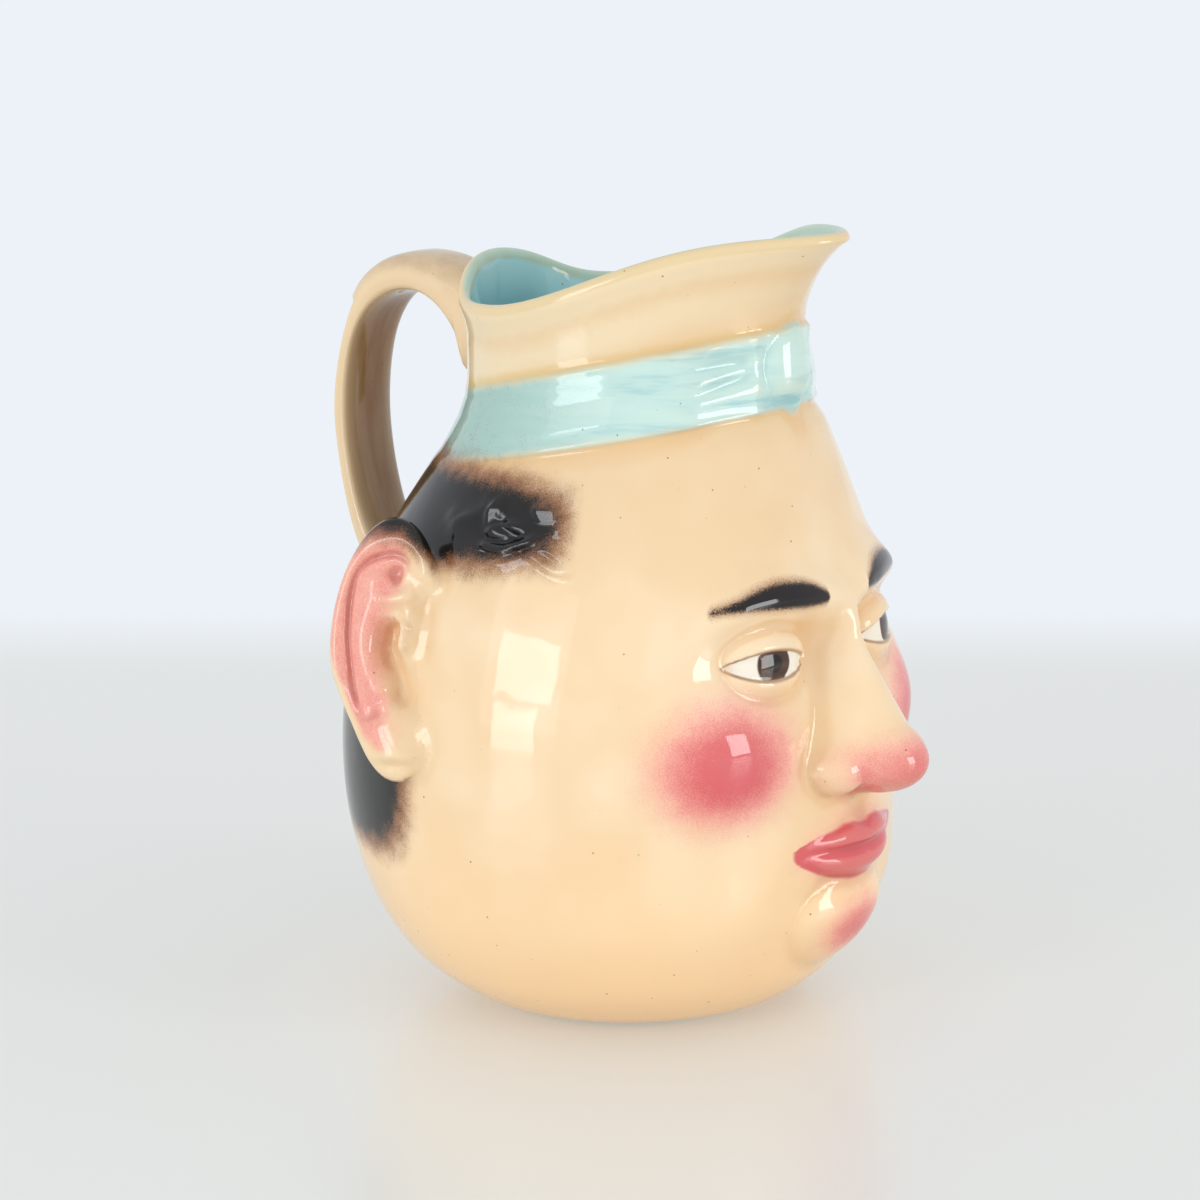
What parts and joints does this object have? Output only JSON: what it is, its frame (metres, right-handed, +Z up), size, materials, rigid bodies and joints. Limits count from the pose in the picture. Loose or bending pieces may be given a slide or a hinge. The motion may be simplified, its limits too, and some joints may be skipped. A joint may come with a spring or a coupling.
{
  "type": "toby jug",
  "caption": "Glazed earthenware toby jug shaped as a head, with a ribboned collar, a pouring lip over the brow, ears and a strap handle behind.",
  "frame": {"origin": "middle of the flat underside, on the axis of the round body", "axes": "+Z up, -Y towards the face and the pouring lip, +Y towards the handle, +X towards the head's own left ear"},
  "size_m": [0.1526, 0.1721, 0.1987],
  "materials": {
    "glaze": "glossy clear majolica glaze over airbrushed cream, pink, charcoal and turquoise"
  },
  "bodies": {
    "root": {"jug": "glaze"}
  },
  "joints": []
}
